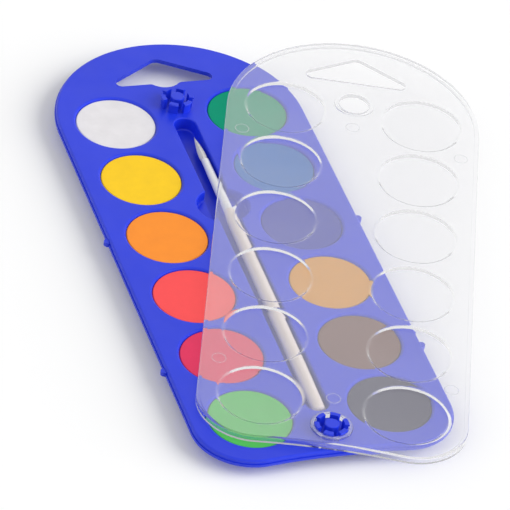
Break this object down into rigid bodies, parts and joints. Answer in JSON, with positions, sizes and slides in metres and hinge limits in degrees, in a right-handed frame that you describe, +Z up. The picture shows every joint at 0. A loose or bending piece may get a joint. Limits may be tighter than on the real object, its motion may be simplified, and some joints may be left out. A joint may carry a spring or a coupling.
{
  "type": "watercolour paint set",
  "caption": "Shallow watercolour tray with round tablets of paint, a brush in its channel and a clear palette lid that swivels on a stud.",
  "frame": {"origin": "middle of the grid of pans, on the plane that the tray rests on", "axes": "+Z up, out of the pans; +Y along the tray towards the arched end with the hang hole; +X across the tray to its right"},
  "size_m": [0.1248, 0.1941, 0.0092],
  "materials": {
    "blue_plastic": "satin moulded polypropylene",
    "clear_plastic": "clear, slightly hazy",
    "plain_wood": "fine sanded, unvarnished",
    "white_plastic": "smooth",
    "white_filament": "straight fine filaments",
    "white_paint": "dry pressed paint, chalky",
    "yellow_paint": "dry pressed paint, chalky",
    "orange_paint": "dry pressed paint, chalky",
    "red_paint": "dry pressed paint, chalky",
    "crimson_paint": "dry pressed paint, chalky",
    "light_green_paint": "dry pressed paint, chalky",
    "dark_green_paint": "dry pressed paint, chalky",
    "blue_paint": "dry pressed paint, chalky",
    "violet_paint": "dry pressed paint, chalky",
    "ochre_paint": "dry pressed paint, chalky",
    "brown_paint": "dry pressed paint, chalky",
    "black_paint": "dry pressed paint, chalky"
  },
  "bodies": {
    "tray": {"tray": "blue_plastic", "paint_white": "white_paint", "paint_yellow": "yellow_paint", "paint_orange": "orange_paint", "paint_red": "red_paint", "paint_crimson": "crimson_paint", "paint_light_green": "light_green_paint", "paint_dark_green": "dark_green_paint", "paint_blue": "blue_paint", "paint_violet": "violet_paint", "paint_ochre": "ochre_paint", "paint_brown": "brown_paint", "paint_black": "black_paint"},
    "lid": {"lid": "clear_plastic"},
    "brush": {"brush_handle": "plain_wood", "brush_ferrule": "white_plastic", "brush_bristles": "white_filament"}
  },
  "joints": [
    {"name": "lid_swivel", "type": "hinge", "parent": "tray", "child": "lid", "pos_m": [0, -0.075, 0.0075], "axis": [0, 0, -1], "range_deg": [-3.6, 322.4]},
    {"name": "brush_slide", "type": "slide", "parent": "tray", "child": "brush", "axis": [0, 1, 0], "range_m": [-0.0006, 0.0056]}
  ]
}
